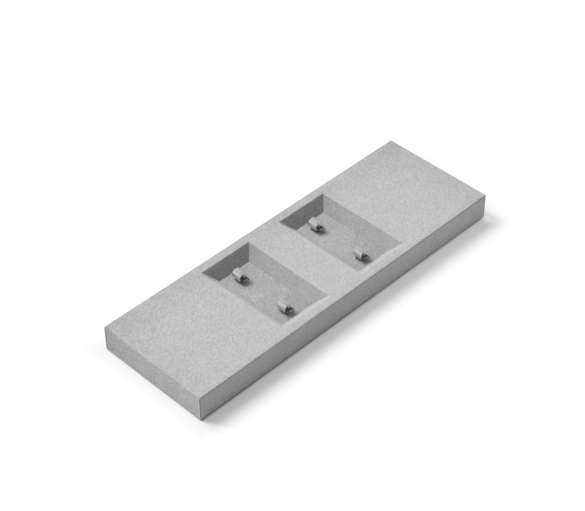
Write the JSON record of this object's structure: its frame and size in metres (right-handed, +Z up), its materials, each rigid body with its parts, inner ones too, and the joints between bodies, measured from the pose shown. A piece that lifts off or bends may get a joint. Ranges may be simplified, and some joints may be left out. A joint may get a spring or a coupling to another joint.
{
  "type": "jewellery display tray",
  "caption": "Long low fabric-covered jewellery display tray with flat platforms for earrings and bracelets and sunken sloping wells in which sprung clips hold finger rings upright.",
  "frame": {"origin": "middle of the underside, on the surface that the tray stands on", "axes": "+X along the tray's length, -Y towards its front long side, +Z up"},
  "size_m": [0.3, 0.098, 0.0223],
  "materials": {
    "microfibre": "short brushed nap with a fine heathered mottle",
    "board": "sawn fibre board",
    "card": "grey board",
    "felt": "thin pressed felt",
    "bright_steel": "polished",
    "plain_steel": "satin"
  },
  "bodies": {
    "root": {"underside_sheet": "felt", "base_board": "board", "back_rail": "board", "front_rail": "board", "right_platform_block": "board", "left_platform_block": "board", "bridge_block": "board", "microfibre_cover": "microfibre", "left_floor_card": "card", "left_floor_cover": "microfibre", "left_front_ring_clip": "bright_steel", "left_front_clip_screw": "plain_steel", "left_back_ring_clip": "bright_steel", "left_back_clip_screw": "plain_steel", "right_floor_card": "card", "right_floor_cover": "microfibre", "right_front_ring_clip": "bright_steel", "right_front_clip_screw": "plain_steel", "right_back_ring_clip": "bright_steel", "right_back_clip_screw": "plain_steel"}
  },
  "joints": []
}
